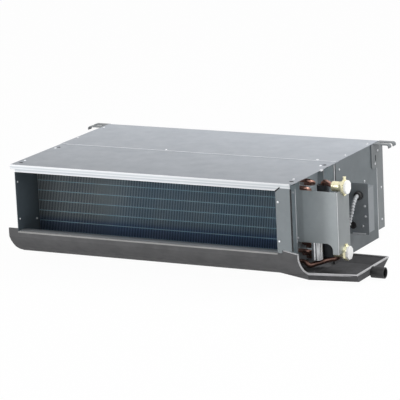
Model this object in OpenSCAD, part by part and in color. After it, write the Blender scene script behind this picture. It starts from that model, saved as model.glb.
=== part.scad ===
// Horizontal concealed fan coil unit. A sheet-metal casing holds a finned water coil at its open
// discharge end and two double-inlet blowers on one motor behind the coil. A drain pan with a tray
// under the pipe ends hangs below the coil, and a control box sits on the right-hand side.
// Lengths are in millimetres. Modules are written from the front top left corner of the casing:
// X runs across to the pipe side, Y to the back and Z up. placed() moves them to the origin, which
// is midway between the two rear hangers.

/* [Casing] */
// Width of the sheet casing
casing_w = 763; // [680:1:1100]
// Height of the fan section
casing_h = 242; // [236:1:300]
// Distance from the discharge plane to the fan section
fan_front = 230; // [224:1:280]
// Depth of the fan section
fan_depth = 243; // [236:1:320]
// Thickness of the casing sheet
sheet = 1; // [0.8:0.1:1.4]
// Distance from the fan section's front to the seam of the top panels
seam_back = 13; // [9:1:25]
// Lap of the top panels at the seam
top_lap = 14; // [8:1:25]
// Reach of the rear top panel past the rear wall
top_overhang = 16; // [6:1:30]
// Width of the folded flanges along the panel edges
fold_w = 14; // [10:1:18]
// Gap between the fan deck's edge and the side panels
deck_gap = 3; // [1:0.5:4]
// Diameter of the round holes near the corners of the front top panel
corner_hole_d = 11; // [8:0.5:13]

/* [Air inlet] */
// Depth of the collar round the air inlet
collar_depth = 45; // [20:1:80]
// Height of the collar
collar_h = 209; // [180:1:215]
// Drop of the collar below the top
collar_drop = 15; // [8:1:20]
// Inset of the collar from the casing's sides
collar_inset = 3; // [2:1:8]
// Width of the collar's inner flange
inlet_flange = 16; // [10:1:25]

/* [Discharge mouth] */
// Depth of the mouth in front of the coil
mouth_depth = 98; // [80:1:104]
// Height of the mouth
mouth_h = 148; // [130:1:150]
// Inset of the mouth's left wall
mouth_inset = 12; // [8:1:24]
// Width of the pipe bay to the right of the mouth
pipe_bay = 44; // [42:1:60]
// Height of the top panel's front lip
lip_h = 11; // [8:1:14]
// Depth of the top flange below the top
flange_h = 18; // [15:1:22]
// Width of the strip beside the mouth on the pipe side
strip_w = 37; // [25:1:42]
// Depth of the sill's ledge
sill_depth = 30; // [20:1:45]
// Height of the sill's front lip
sill_lip = 4; // [3:0.5:6]

/* [Coil] */
// Outside diameter of the coil tubes
tube_d = 9.52; // [9:0.01:12.7]
// Vertical pitch of the tubes
row_pitch = 25.4; // [24:0.1:26]
// Pitch of the tube columns from front to back
column_pitch = 22; // [20:0.5:23]
// Tubes in each column
tube_rows = 8; // [6:2:8]
// Drop of the fins below the top
coil_drop = 15.5; // [10:0.5:17]
// Fin plates in the model
fin_count = 44; // [20:1:60]
// Thickness of a fin plate
fin_t = 0.4; // [0.3:0.1:0.8]
// Radial clearance of a tube in a fin or tube sheet
tube_fit = 0.05; // [0.03:0.01:0.1]
// Length of tube past each tube sheet
tube_stub = 3; // [2:0.5:5]
// Straight leg of the return bends on the pipe side
bend_leg = 12; // [6:0.5:14]
// Reach of the pipe-side tube sheet behind the fins
sheet_reach = 61; // [50:1:63]

/* [Water pipes] */
// Outside diameter of the headers
header_d = 22; // [18:0.5:24]
// Distance of the headers from the pipe-side tube sheet
header_reach = 49; // [47:1:55]
// Thickness of the foam sleeve on the return header
sleeve_t = 4; // [3:0.5:6]
// Outside diameter of the connecting pipes
pipe_d = 12.7; // [10:0.1:15]
// Distance of the water connections behind the discharge plane
connection_y = 135; // [128:1:140]
// Drop of the return connection below the top
return_drop = 31.5; // [28:0.5:36]
// Drop of the supply connection below the top
supply_drop = 190; // [180:0.5:195]
// Diameter of the connections' barrels
barrel_d = 24; // [22:0.5:26]
// Width across flats of the connections' hexagons
hex_w = 34; // [32:0.5:38]
// Width of a hexagon along its axis
hex_l = 6; // [5:0.5:9]
// Diameter of the threaded bores, at the crest of a three-quarter-inch pipe thread
thread_d = 24.1; // [20:0.1:24.5]
// Depth of the threaded bores
thread_depth = 14; // [10:0.5:16]
// Outside diameter of the spigots that carry the caps
spigot_d = 27; // [26.5:0.5:31]
// Length of the spigots
spigot_l = 4; // [3:0.5:8]
// Wall of the protective caps
cap_wall = 1.8; // [1.5:0.1:3]
// Radial clearance of the caps on the spigots
cap_fit = 0.08; // [0.05:0.01:0.1]
// Diameter of the vent screw's stem
vent_d = 4; // [3:0.5:5]

/* [Pipe bracket] */
// Reach of the bracket past the pipe bay
bracket_reach = 67; // [60:1:75]
// Drop of the bracket's top edge
bracket_drop = 37; // [35:1:42]
// Height of the bracket
bracket_h = 150; // [140:1:155]
// Depth of the bracket's right face
bracket_depth = 65; // [58:1:80]
// Height of the cut-out under the bracket
cutout_h = 25; // [15:1:40]
// Width left beside the cut-out
cutout_leg = 14; // [10:1:20]
// Corner radius of the cut-out
cutout_r = 16; // [8:1:20]

/* [Drain pan] */
// Wall thickness of the pan
pan_wall = 4; // [3:0.5:5]
// Reach of the pan past the casing's left side
pan_left = 15; // [14:1:25]
// Raised height of the pan's ends above the sill
pan_ear = 7; // [4:1:10]
// Height of the pan's outer floor above the casing's bottom
pan_lift = 1; // [0.5:0.5:4]
// Reach of the valve tray past the casing's right side
tray_reach = 127; // [115:1:150]
// Distance of the tray's front right corner behind the discharge plane
tray_front = 65; // [55:1:72]
// Advance of the tray's front left corner
tray_skew = 19; // [8:1:21]
// Length of the tray from front to back
tray_l = 182; // [165:1:200]
// Height of the tray's rim above the pan's outer floor
tray_h = 16; // [13:1:20]
// Lean of the tray's front wall, measured along Y
tray_lean = 9; // [4:1:12]
// Slope of the tray's back wall, measured along Y
tray_flare = 29; // [10:1:40]
// Outside diameter of the drain stub
drain_d = 26.9; // [20:0.1:30]
// Wall of the drain stub
drain_wall = 2.5; // [2:0.1:3.5]
// Length of the drain stub
drain_l = 33; // [25:1:45]
// Distance of the drain stub behind the discharge plane
drain_y = 150; // [120:1:180]

/* [Blowers] */
// Diameter of the impellers
impeller_d = 146; // [130:1:150]
// Length of the impellers
impeller_l = 176; // [140:1:190]
// Radial depth of the blades
blade_depth = 12; // [9:0.5:15]
// Blades on each impeller
blade_count = 36; // [24:1:44]
// Thickness of a blade
blade_t = 0.8; // [0.6:0.1:1.2]
// Gap between the impeller and the scroll at the tongue
tongue_gap = 7; // [5:0.5:9]
// Gap between the scroll and the bottom panel
scroll_room = 14; // [12:1:20]
// Gap between the impeller's ends and the scroll's side plates
end_gap = 8; // [6:0.5:12]
// Drop of the shaft below the top
shaft_drop = 122; // [119:1:126]
// Distance of the shaft behind the fan deck
shaft_back = 130; // [120:1:132]
// Diameter of the shaft
shaft_d = 12; // [10:0.5:14]
// Radial running clearance of the shaft in the motor
shaft_fit = 0.05; // [0.03:0.01:0.08]
// Diameter of the motor
motor_d = 104; // [90:1:115]
// Length of the motor's can
motor_l = 96; // [80:1:104]
// Length of the motor's end bosses
boss_l = 14; // [12:1:16]
// Diameter of the motor's end bosses
boss_d = 36; // [30:1:40]
// Thickness of the rubber rings on the bosses
ring_t = 7; // [5:0.5:9]

/* [Control box] */
// Height of the control box
box_h = 127; // [115:1:140]
// Width of the control box
box_w = 54; // [48:1:70]
// Depth of the control box
box_depth = 31; // [30:1:45]
// Drop of the box below the top
box_drop = 62; // [55:1:75]
// Distance of the box behind the fan deck
box_back = 70; // [66:1:90]
// Drop of the cable gland below the box's top
gland_drop = 30; // [26:1:36]
// Outside diameter of the conduit
conduit_d = 12; // [10:0.5:16]
// Diameter of the spare cable bush
bush_d = 18; // [14:0.5:22]

/* [Hangers] */
// Width of a hanger's upright leg
hanger_w = 46; // [40:1:56]
// Width of a hanger's forked leg
fork_w = 44; // [36:1:50]
// Reach of a hanger past the casing
hanger_reach = 43; // [40:1:60]
// Height of a hanger's upright leg
hanger_h = 62; // [56:1:75]
// Thickness of a hanger
hanger_t = 2; // [1.5:0.1:2.5]
// Width of the open slot for the hanging rod
hanger_slot = 11; // [9:0.5:13]
// Distance of the hanging slots behind the rear wall
hanger_back = 2; // [0:1:10]
// Drop of the hanger's hooked tips
hook_h = 9; // [6:0.5:12]

/* [Fasteners] */
// Diameter of the screw heads
screw_d = 7; // [5:0.5:8]
// Height of the screw heads
screw_h = 1.8; // [1.2:0.1:2.5]

/* [Hidden] */
$fn = 48;

// Paint and metal colours
galvanised = [0.68, 0.70, 0.73];
bright_steel = [0.86, 0.87, 0.89];
shade_steel = [0.45, 0.48, 0.50];
fin_blue = [0.17, 0.26, 0.31];
copper = [0.72, 0.45, 0.34];
brass = [0.83, 0.75, 0.46];
pan_grey = [0.33, 0.33, 0.34];
soft_black = [0.10, 0.10, 0.11];

// Main planes of the casing
fan_rear = fan_front + fan_depth;
seam_y = fan_front + seam_back;
mouth_left = mouth_inset;
mouth_right = casing_w - pipe_bay;
mouth_floor = flange_h + mouth_h;

// Coil block and its tubes
tube_columns = 3;
coil_front = mouth_depth + 2 * sheet;
coil_depth = tube_columns * column_pitch;
coil_h = tube_rows * row_pitch;
coil_bottom = coil_drop + coil_h;
fin_margin = 2;
tube_hole_d = tube_d + 2 * tube_fit;
tube_from = mouth_left - sheet - tube_stub;
tube_to = mouth_right + sheet + tube_stub;
sheet_shallow = coil_bottom - 20;
front_fold = 13;
flange_y = mouth_depth - 22;
plate_skirt = 30;
ear_start = 12;
rear_fold = 16;
sheet_back = coil_front + coil_depth + sheet_reach;
function tube_y(column) = coil_front + column_pitch * (column + 0.5);
function tube_z(column, row) = -coil_drop - row_pitch * (row + (column % 2 == 0 ? 0.75 : 0.25));

// Water pipes and their connections
header_x = mouth_right + header_reach;
header_end = 10;
header_foot = -supply_drop - 16;
return_run_z = 5 - return_drop;
pipe_joint_d = 1.2 * pipe_d;
bracket_x = casing_w + bracket_reach;
bracket_y = mouth_depth;
bracket_left = mouth_right + sheet + front_fold;
bracket_tab = 11;
bracket_bottom = bracket_drop + bracket_h;
cutout_top = bracket_bottom - cutout_h;
barrel_l = 28;
socket_l = 9;
socket_gap = 0.1;
water_d = 0.8 * pipe_d;
cone_l = 8;
lug_w = 9;
lug_t = 0.6 * hex_l;
lug_reach = 0.62 * hex_w;
vent_boss_d = 2 * vent_d;
vent_boss_h = 3;
cap_reach = spigot_l + cap_wall;
cap_d = spigot_d + 2 * (cap_wall + cap_fit);
cap_gap = 0.3;
cap_sides = 8;

// Drain pan and tray
pan_bottom = casing_h - pan_lift;
pan_rim = mouth_floor + sheet;
pan_right_wall = casing_w + 8;
tray_right = casing_w + tray_reach;
tray_rim = pan_bottom - tray_h;
drain_drop = pan_bottom - 5;
pan_back_rim = coil_bottom + 4;

// Blowers and motor
shaft_y = fan_front + sheet + shaft_back;
scroll_start = impeller_d / 2 + tongue_gap;
scroll_growth = casing_h - 2 * sheet - scroll_room - shaft_drop - scroll_start;
tongue_angle = 205;
outlet_angle = -90;
housing_w = impeller_l + 2 * end_gap;
blower_margin = 22;
left_blower_x = blower_margin + sheet + fold_w;
right_blower_x = casing_w - left_blower_x - housing_w;
inlet_d = impeller_d - 2 * blade_depth;
outlet_flange = 8;
motor_mid = casing_w / 2;
hub_d = 2.4 * shaft_d;
hub_l = 26;
hub_disc_t = 1.5;
rim_t = 2;
hub_fit = 0.02;
cradle_t = 2.5;
cradle_w = 90;
saddle_rise = 12;

// Control box
box_y = fan_front + box_back;
box_top = -box_drop;
body_top = box_top - 10;
body_bottom = box_top - box_h + 6;
gland_x = casing_w + box_w * 0.55;
gland_z = box_top - gland_drop;
bush_x = casing_w + box_w * 0.22;
bush_z = box_top - box_h + 22;
gland_d = conduit_d + 10;
gland_l = 12;
conduit_hole = [casing_w, box_y - 38, box_top - box_h + 18];

// Hangers
hanger_y = fan_rear + hanger_back;
leg_y = hanger_y - hanger_w / 4;
hanger_slot_l = 28;
hook_r = 4;
leg_r = 10;

// Shared helpers
module placed() {
    translate([-casing_w / 2, -hanger_y, 0]) children();
}

module slab(low, high) {
    translate(low) cube(high - low);
}

module x_cylinder(from, to, y, z, d) {
    translate([from, y, z]) rotate([0, 90, 0]) cylinder(h = to - from, d = d);
}

module y_cylinder(from, to, x, z, d) {
    translate([x, from, z]) rotate([-90, 0, 0]) cylinder(h = to - from, d = d);
}

module z_cylinder(from, to, x, y, d) {
    translate([x, y, from]) cylinder(h = to - from, d = d);
}

// Sweeps a profile drawn in Y and Z along X
module x_profile(from, to) {
    translate([from, 0, 0]) rotate([90, 0, 90]) linear_extrude(to - from) children();
}

// Revolves a profile drawn as radius and length about the X axis
module x_revolve(from, y, z) {
    translate([from, y, z]) rotate([0, 90, 0]) rotate_extrude() children();
}

module rod(from, to, d) {
    span = to - from;
    length = norm(span);
    tilt = acos(span[2] / length);
    turn = atan2(span[1], span[0]);
    translate(from) rotate([0, tilt, turn]) cylinder(h = length, d = d);
}

function unit(v) = v / norm(v);

module mirrored_side() {
    translate([casing_w, 0, 0]) mirror([1, 0, 0]) children();
}

// Top of the casing
module front_top_panel() {
    color(galvanised) placed() difference() {
        slab([0, sheet, -sheet], [casing_w, seam_y + top_lap, 0]);
        for (x = corner_hole_x, y = corner_hole_y)
            z_cylinder(-2 * sheet, sheet, x, y, corner_hole_d);
    }
}

corner_hole_inset = 15;
corner_hole_x = [corner_hole_inset, casing_w - corner_hole_inset];
corner_hole_y = [28, fan_front - 22];

module rear_top_panel() {
    color(galvanised) placed() {
        slab([0, seam_y, 0], [casing_w, fan_rear + top_overhang, sheet]);
        slab([collar_inset, fan_rear + top_overhang - sheet, -collar_drop],
             [casing_w - collar_inset, fan_rear + top_overhang, 0]);
    }
}

// Mouth of the unit
flange_mitre = 7;

// Bright front lip across the whole width, with a stepped and hemmed flange above the mouth
module discharge_top_flange() {
    hem = 2.4;
    lip_end = mouth_right + strip_w;
    color(bright_steel) placed() {
        x_profile(0, lip_end) union() {
            translate([0, -lip_h]) square([sheet, lip_h]);
            translate([sheet, -lip_h]) square([sheet, lip_h - sheet]);
            translate([sheet, -2 * sheet]) square([fold_w - sheet, sheet]);
        }
        difference() {
            x_profile(mouth_left, mouth_right + flange_mitre) union() {
                translate([sheet, hem / 2 - flange_h]) square([sheet, flange_h - lip_h]);
                translate([sheet, hem / 2 - flange_h]) circle(d = hem);
                translate([0, -(lip_h + flange_h) / 2 - hem / 2]) square([sheet + 0.1, hem]);
            }
            translate([mouth_right + flange_mitre, 0, -lip_h]) rotate([0, 45, 0])
                slab([0, -hem, -2 * flange_h], [flange_h, fold_w, flange_h]);
        }
    }
}

module discharge_sill() {
    color(bright_steel) placed() x_profile(mouth_left, mouth_right) union() {
        translate([-sheet, -mouth_floor - sheet]) square([sill_depth + sheet, sheet]);
        translate([-sheet, -mouth_floor - sill_lip]) square([sheet, sill_lip]);
        translate([sill_depth - sheet, -mouth_floor - 3 * sill_lip]) square([sheet, 3 * sill_lip]);
    }
}

module discharge_side(inner, outward) {
    plate_x = outward > 0 ? inner : inner - sheet;
    top_fold = outward > 0 ? [inner, inner + fold_w] : [inner - sheet, inner + fold_w - sheet];
    difference() {
        union() {
            slab([plate_x, sheet, -mouth_floor - sheet], [plate_x + sheet, mouth_depth, -flange_h - sheet]);
            slab([plate_x, 3 * sheet, -flange_h - sheet], [plate_x + sheet, mouth_depth, -2 * sheet]);
            slab([plate_x, sill_depth + sheet, -mouth_floor - plate_skirt],
                 [plate_x + sheet, mouth_depth, -mouth_floor]);
            slab([top_fold[0], fold_w, -2 * sheet], [top_fold[1], mouth_depth, -sheet]);
        }
        for (x = corner_hole_x, y = corner_hole_y)
            z_cylinder(-flange_h, sheet, x, y, corner_hole_d + 4);
    }
}

module left_discharge_side() {
    color(shade_steel) placed() discharge_side(mouth_left, -1);
}

module right_discharge_side() {
    strip_bottom = mouth_floor - pan_ear;
    color(galvanised) placed() {
        discharge_side(mouth_right, 1);
        translate([0, sheet, 0]) rotate([90, 0, 0]) linear_extrude(sheet) polygon([
            [mouth_right, -strip_bottom],
            [mouth_right + strip_w, -strip_bottom],
            [mouth_right + strip_w, -lip_h],
            [mouth_right + flange_mitre, -lip_h],
            [mouth_right, -lip_h - flange_mitre]
        ]);
        slab([mouth_right, 0, -mouth_floor], [mouth_right + ear_start, sheet, -strip_bottom]);
        slab([mouth_right + sheet, flange_y, -mouth_floor - plate_skirt],
             [mouth_right + sheet + front_fold, flange_y + sheet, -2 * sheet]);
    }
}

// Coil
module tube_holes() {
    for (column = [0 : tube_columns - 1], row = [0 : tube_rows - 1])
        translate([tube_y(column), tube_z(column, row)]) circle(d = tube_hole_d);
}

module sheet_outline() {
    deep_l = coil_front + coil_depth + fold_w - mouth_depth;
    translate([mouth_depth, -coil_bottom]) square([deep_l, coil_bottom - sheet]);
    translate([mouth_depth, -sheet_shallow]) square([sheet_back - mouth_depth, sheet_shallow - sheet]);
}

module left_tube_sheet() {
    color(shade_steel) placed() {
        x_profile(mouth_left - sheet, mouth_left) difference() {
            sheet_outline();
            tube_holes();
        }
        slab([mouth_left, sheet_back - sheet, -sheet_shallow],
             [mouth_left + fold_w, sheet_back, -sheet]);
    }
}

module right_tube_sheet() {
    color(galvanised) placed() {
        x_profile(mouth_right, mouth_right + sheet) difference() {
            sheet_outline();
            tube_holes();
        }
        slab([mouth_right + sheet, mouth_depth, -cutout_top],
             [mouth_right + sheet + front_fold, mouth_depth + sheet, -2 * sheet]);
        slab([mouth_right + sheet, sheet_back - sheet, -sheet_shallow],
             [mouth_right + sheet + rear_fold, sheet_back, -sheet]);
    }
}

module coil_fins() {
    first = mouth_left + fin_margin;
    pitch = (mouth_right - fin_margin - fin_t - first) / (fin_count - 1);
    color(fin_blue) placed() for (i = [0 : fin_count - 1])
        x_profile(first + i * pitch, first + i * pitch + fin_t) difference() {
            translate([coil_front, -coil_bottom]) square([coil_depth, coil_h]);
            tube_holes();
        }
}

module coil_tubes() {
    color(copper) placed() for (column = [0 : tube_columns - 1], row = [0 : tube_rows - 1])
        x_cylinder(tube_from, tube_to, tube_y(column), tube_z(column, row), tube_d);
}

// A return bend between two tube ends, one pitch apart, that turns back at the given side
module return_bend(x, a, b, leg, side) {
    mid = (a + b) / 2;
    lean = atan2(b[1] - a[1], b[0] - a[0]);
    translate([x, mid[0], mid[1]]) rotate([lean, 0, 0]) {
        for (end = [-1, 1])
            x_cylinder(min(0, side * leg), max(0, side * leg), end * row_pitch / 2, 0, tube_d);
        translate([side * leg, 0, 0]) rotate([0, 0, side > 0 ? -90 : 90])
            rotate_extrude(angle = 180) translate([row_pitch / 2, 0]) circle(d = tube_d);
    }
}

function tube_at(column, row) = [tube_y(column), tube_z(column, row)];

module left_return_bends() {
    color(copper) placed() for (column = [0 : tube_columns - 1], row = [0 : 2 : tube_rows - 2])
        return_bend(tube_from, tube_at(column, row), tube_at(column, row + 1), 0.5, -1);
}

module right_return_bends() {
    color(copper) placed() for (row = [0 : 2 : tube_rows - 2]) {
        return_bend(tube_to, tube_at(0, row), tube_at(1, row + 1), bend_leg, 1);
        return_bend(tube_to, tube_at(1, row), tube_at(2, row), bend_leg, 1);
    }
}

// Water pipes
// An upright header with a stub to each of the given rows of one tube column
module header(column, rows, bottom) {
    y = tube_y(column);
    z_cylinder(bottom, tube_z(column, rows[0]) + header_end, header_x, y, header_d);
    for (row = rows)
        x_cylinder(tube_to, header_x, y, tube_z(column, row), tube_d);
}

module supply_header() {
    color(bright_steel) placed() header(0, [for (row = [1 : 2 : tube_rows - 3]) row], header_foot);
}

module return_header() {
    color(copper) placed()
        header(2, [for (row = [1 : 2 : tube_rows - 1]) row], tube_z(2, tube_rows - 1) - header_end);
}

// Foam sleeves: one on the return header and one, closed at its top, over the supply pipe's riser
module header_sleeve() {
    y = tube_y(2);
    top = return_run_z - pipe_d / 2 - 1.5;
    bottom = tube_z(2, tube_rows - 1);
    inner_d = header_d + 2 * tube_fit;
    outer_d = header_d + 2 * sleeve_t;
    color(soft_black) placed() {
        difference() {
            z_cylinder(bottom, top, header_x, y, outer_d);
            z_cylinder(bottom - 1, top + 1, header_x, y, inner_d);
            for (row = [1 : 2 : tube_rows - 1])
                x_cylinder(header_x - outer_d, header_x, y, tube_z(2, row), tube_hole_d);
        }
        difference() {
            z_cylinder(header_foot + sleeve_t, 2 - cutout_top, riser_x(), connection_y,
                       pipe_joint_d + 2 * sleeve_t);
            z_cylinder(header_foot, pipe_joint_d - supply_drop, riser_x(), connection_y,
                       pipe_joint_d + 2 * tube_fit);
            x_cylinder(riser_x(), socket_x(), connection_y, -supply_drop, pipe_d + 2 * tube_fit);
        }
    }
}

function socket_x() = bracket_x - barrel_l;

function riser_x() = socket_x() - pipe_joint_d / 2 - sleeve_t - 0.5;

// Feed from the supply connection: a short riser, a sloping run under the header and a riser to the
// lowest tube of the front column
module supply_pipe() {
    last_z = tube_z(0, tube_rows - 1);
    end = [tube_to + 1.4 * pipe_d, tube_y(0)];
    color(copper) placed() {
        x_cylinder(riser_x(), socket_x() + socket_l - 1, connection_y, -supply_drop, pipe_d);
        z_cylinder(header_foot - 11, 0.6 * pipe_d - supply_drop, riser_x(), connection_y, pipe_joint_d);
        rod([riser_x(), connection_y, header_foot - 3], [end[0], end[1], last_z - 12], pipe_d);
        z_cylinder(last_z - 19, last_z + 6, end[0], end[1], pipe_joint_d);
        x_cylinder(tube_to, end[0], tube_y(0), last_z, tube_d);
    }
}

// Riser on the top of the return header with a short run into the return connection
module return_pipe() {
    y = tube_y(2);
    color(copper) placed() {
        z_cylinder(tube_z(2, 1) + header_end - 4, return_run_z + 7, header_x, y, pipe_joint_d);
        rod([header_x, y, return_run_z], [socket_x() + 5, connection_y, -return_drop], pipe_d);
    }
}

// A brass connection: a socket for the pipe, a shoulder, a hexagon and a bored spigot
module water_fitting(z, lug_side) {
    hex_from = barrel_l;
    mouth = hex_from + hex_l + spigot_l;
    shoulder = hex_from - cone_l;
    shoulder_r = thread_d / 2 + 3.5;
    difference() {
        union() {
            x_revolve(socket_x(), connection_y, -z) polygon([
                [0, 0], [barrel_d / 2 - 1, 0], [barrel_d / 2, 1], [barrel_d / 2, shoulder],
                [shoulder_r, hex_from], [shoulder_r, hex_from + hex_l],
                [spigot_d / 2, hex_from + hex_l], [spigot_d / 2, mouth], [0, mouth]
            ]);
            translate([bracket_x, connection_y, -z]) rotate([0, 90, 0])
                cylinder(h = hex_l, d = hex_w / cos(30), $fn = 6);
            slab([bracket_x, connection_y - lug_w / 2, -z - max(0, lug_side * lug_reach)],
                 [bracket_x + lug_t, connection_y + lug_w / 2, -z + max(0, -lug_side * lug_reach)]);
        }
        x_cylinder(socket_x() - 1, socket_x() + socket_l, connection_y, -z, pipe_d + socket_gap);
        x_cylinder(socket_x(), bracket_x, connection_y, -z, water_d);
        x_cylinder(socket_x() + mouth - thread_depth, socket_x() + mouth + 1, connection_y, -z, thread_d);
    }
}

vent_x = bracket_x + hex_l / 2;
vent_z = hex_w / 2 / cos(30) - 2;

module supply_fitting() {
    color(brass) placed() water_fitting(supply_drop, -1);
}

module return_fitting() {
    color(brass) placed() difference() {
        union() {
            water_fitting(return_drop, 1);
            z_cylinder(-return_drop + hex_w / 2 - 2, -return_drop + vent_z + vent_boss_h,
                       vent_x, connection_y, vent_boss_d * 0.8);
        }
        z_cylinder(-return_drop + hex_w / 2 - 2, -return_drop + hex_w, vent_x, connection_y,
                   vent_d + 2 * shaft_fit);
    }
}

module vent_screw() {
    seat = -return_drop + vent_z + vent_boss_h;
    head_h = 4;
    color(brass) placed() difference() {
        union() {
            z_cylinder(-return_drop + hex_w / 2 - 1, seat + 0.3, vent_x, connection_y, vent_d);
            z_cylinder(seat + 0.3, seat + head_h, vent_x, connection_y, vent_boss_d);
        }
        slab([vent_x - vent_boss_d, connection_y - 0.6, seat + head_h - 1.4],
             [vent_x + vent_boss_d, connection_y + 0.6, seat + head_h + 1]);
    }
}

// A push-on cap: an eight-sided skirt round the spigot with a closed end
module protective_cap(z) {
    from = bracket_x + hex_l + cap_gap;
    end = bracket_x + hex_l + cap_gap + cap_reach;
    color("white") placed() difference() {
        translate([from, connection_y, -z]) rotate([0, 90, 0]) rotate(180 / cap_sides)
            cylinder(h = end - from, d = cap_d / cos(180 / cap_sides), $fn = cap_sides);
        x_cylinder(from - 1, end - cap_wall, connection_y, -z, spigot_d + 2 * cap_fit);
    }
}

module supply_cap() {
    protective_cap(supply_drop);
}

module return_cap() {
    protective_cap(return_drop);
}

// Bracket that carries the water connections
module pipe_bracket() {
    cutout_right = bracket_x - sheet - cutout_leg;
    notch_d = 2 * (thread_d / 2 + 3.5) + 1;
    color(galvanised) placed() {
        difference() {
            slab([bracket_left - bracket_tab, bracket_y - sheet, -bracket_bottom],
                 [bracket_x, bracket_y, -bracket_drop]);
            slab([bracket_left - bracket_tab - 1, bracket_y - 2 * sheet, -bracket_bottom - 1],
                 [cutout_right - cutout_r, bracket_y + sheet, -cutout_top]);
            slab([cutout_right - cutout_r - 1, bracket_y - 2 * sheet, -bracket_bottom - 1],
                 [cutout_right, bracket_y + sheet, -cutout_top - cutout_r]);
            y_cylinder(bracket_y - 2 * sheet, bracket_y + sheet, cutout_right - cutout_r,
                       -cutout_top - cutout_r, 2 * cutout_r);
        }
        difference() {
            slab([bracket_x - sheet, bracket_y, -bracket_bottom],
                 [bracket_x, bracket_y + bracket_depth, -bracket_drop]);
            for (z = [return_drop, supply_drop])
                x_cylinder(bracket_x - 2 * sheet, bracket_x + sheet, connection_y, -z, notch_d);
        }
    }
}

// Drain pan: a curved front wall and a floor under the coil, with raised ends
front_wall_y = [0, 0, 7, 16, 27, 43, 64, 109];
front_wall_drop = [0, 0.19, 0.35, 0.49, 0.63, 0.76, 0.88, 1];
pan_path = concat(
    [for (i = [0 : len(front_wall_y) - 1])
        [front_wall_y[i], -pan_rim - front_wall_drop[i] * (pan_bottom - pan_rim)]],
    [[sheet_back - 30, -pan_bottom], [fan_front, -pan_back_rim]]
);

function left_normal(from, to) = unit([from[1] - to[1], to[0] - from[0]]);
function path_normal(path, i) = left_normal(path[max(i - 1, 0)], path[max(i, 1)]);
function inner_point(path, i, t) = let (
    before = path_normal(path, i),
    after = path_normal(path, min(i + 1, len(path) - 1)),
    middle = unit(before + after)
) path[i] + middle * t / (middle * before);
function inner_path(path, t) = [for (i = [len(path) - 1 : -1 : 0]) inner_point(path, i, t)];

// Sloping underside between the trough's curved front and the tray's front corner
module tray_blend() {
    blend_l = 120;
    foot = [109, -pan_bottom];
    hull() {
        x_profile(pan_right_wall - 1, pan_right_wall)
            polygon([[tray_front - tray_skew + tray_lean, -pan_bottom], foot,
                     [tray_front - tray_skew, -tray_rim - 1]]);
        x_profile(pan_right_wall - 1 - blend_l, pan_right_wall - blend_l)
            polygon([[foot[0] - 4, -pan_bottom], foot, [foot[0] - 4, 1 - pan_bottom]]);
    }
}

module drain_pan() {
    ear_from = mouth_right + ear_start + sheet / 2;
    color(pan_grey) placed() {
        x_profile(-pan_left, pan_right_wall) polygon(concat(pan_path, inner_path(pan_path, pan_wall)));
        x_profile(-pan_left, pan_wall - pan_left) polygon(pan_path);
        slab([-pan_left, 0, -pan_rim - 1], [mouth_left - sheet, pan_wall, pan_ear - pan_rim]);
        translate([0, pan_wall, -pan_rim]) rotate([90, 0, 0]) linear_extrude(pan_wall)
            polygon([[ear_from, -1], [pan_right_wall, -1], [pan_right_wall, 0.5], [ear_from, pan_ear]]);
        tray_blend();
    }
}

// The tray's block, drawn in by an inset; its front runs askew from the pan to the right corner
module tray_layer(inset, lean, flare, z, t) {
    left = pan_right_wall + inset;
    right = tray_right - inset;
    front = tray_front + inset + lean;
    back = tray_front + tray_l - inset - flare;
    translate([0, 0, z]) linear_extrude(t)
        polygon([[left, front - tray_skew], [right, front], [right, back], [left, back]]);
}

module tray_solid(inset, rise) {
    hull() {
        tray_layer(inset, 0, 0, -tray_rim, rise);
        tray_layer(inset, tray_lean, tray_flare, inset - pan_bottom, 1);
    }
}

// Low tray under the pipe ends, open to the pan through a doorway in its left wall
module valve_tray() {
    doorway = [tray_front + tray_lean + 2 * pan_wall, sheet_back - 30 - 2 * pan_wall];
    color(pan_grey) placed() difference() {
        tray_solid(0, 0.5);
        tray_solid(pan_wall, 1);
        slab([pan_right_wall - 1, doorway[0], pan_wall - pan_bottom],
             [pan_right_wall + pan_wall + 1, doorway[1], 1 - tray_rim]);
        intersection() {
            x_cylinder(tray_right - 2 * pan_wall, tray_right + 1, drain_y, -drain_drop,
                       drain_d - 2 * drain_wall);
            slab([tray_right - 3 * pan_wall, 0, pan_wall - pan_bottom], [tray_right + 2, fan_rear, 0]);
        }
    }
}

module drain_stub() {
    color(soft_black) placed() difference() {
        x_cylinder(tray_right, tray_right + drain_l, drain_y, -drain_drop, drain_d);
        x_cylinder(tray_right - 1, tray_right + drain_l + 1, drain_y, -drain_drop,
                   drain_d - 2 * drain_wall);
    }
}

// Fan section
module outlet_windows(grow) {
    for (x = [left_blower_x, right_blower_x])
        translate([x + sheet - grow, outlet_low() - grow])
            square([housing_w - 2 * sheet + 2 * grow, outlet_high() - outlet_low() + 2 * grow]);
}

module fan_deck() {
    color(galvanised) placed() {
        translate([0, fan_front + sheet, 0]) rotate([90, 0, 0]) linear_extrude(sheet) difference() {
            translate([0, -casing_h]) square([casing_w, casing_h - sheet]);
            outlet_windows(0);
        }
        for (x = [sheet, casing_w - 2 * sheet])
            slab([x, fan_front + sheet, -casing_h + sheet],
                 [x + sheet, fan_front + sheet + fold_w, -sheet]);
    }
}

module side_panel() {
    color(shade_steel) {
        slab([casing_w - sheet, fan_front + sheet + deck_gap, -casing_h], [casing_w, fan_rear, -sheet]);
        slab([casing_w - fold_w, seam_y + top_lap + sheet, -sheet], [casing_w, fan_rear, 0]);
    }
}

module left_side_panel() {
    placed() mirrored_side() side_panel();
}

module right_side_panel() {
    placed() difference() {
        side_panel();
        x_cylinder(casing_w - 2 * sheet, casing_w + sheet, conduit_hole[1], conduit_hole[2], conduit_d + 4);
    }
}

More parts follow.
